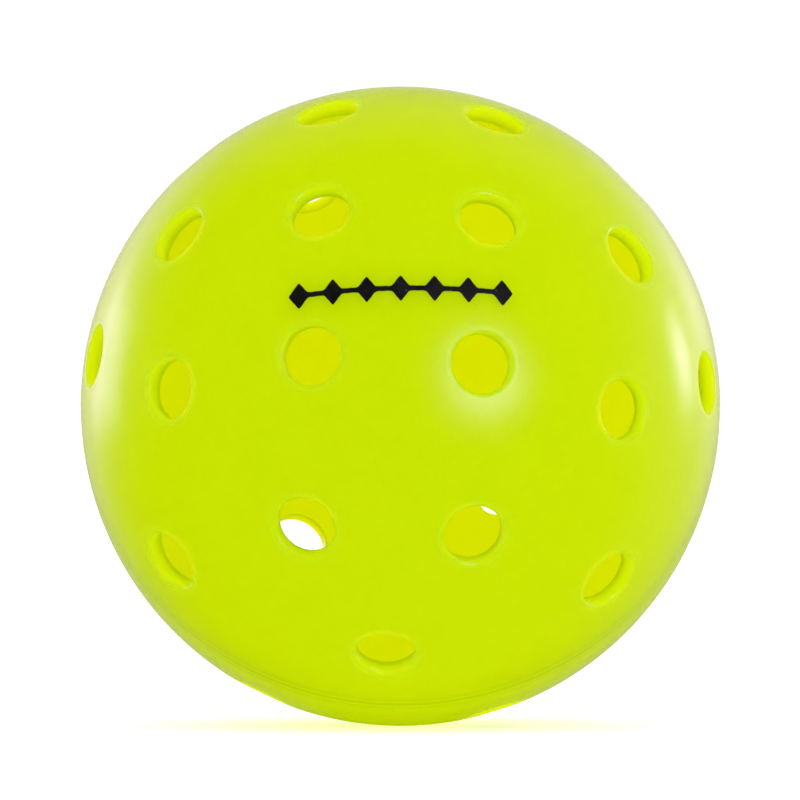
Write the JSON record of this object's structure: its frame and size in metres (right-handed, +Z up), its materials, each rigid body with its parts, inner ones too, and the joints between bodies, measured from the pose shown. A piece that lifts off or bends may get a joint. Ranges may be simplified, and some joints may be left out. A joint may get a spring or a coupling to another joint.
{
  "type": "pickleball ball",
  "caption": "Hollow perforated plastic ball of two welded half shells with round holes all over, hit with a paddle in play.",
  "frame": {"origin": "centre of the ball", "axes": "+Z up as the ball sits, -Y to the front. The printed pole faces the front and looks 23 degrees up, and the weld's plane is square to it. The ball's rows of holes are turned 2.8 degrees about the pole."},
  "size_m": [0.074, 0.0738, 0.0738],
  "materials": {
    "shell_plastic": "smooth satin gloss, lime green all through",
    "weld_plastic": "re-melted, smooth, lime green",
    "print_ink": "flat black pad-print ink"
  },
  "bodies": {
    "root": {"front_half_shell": "shell_plastic", "back_half_shell": "shell_plastic", "seam_weld": "weld_plastic", "printed_ornament": "print_ink"}
  },
  "joints": []
}
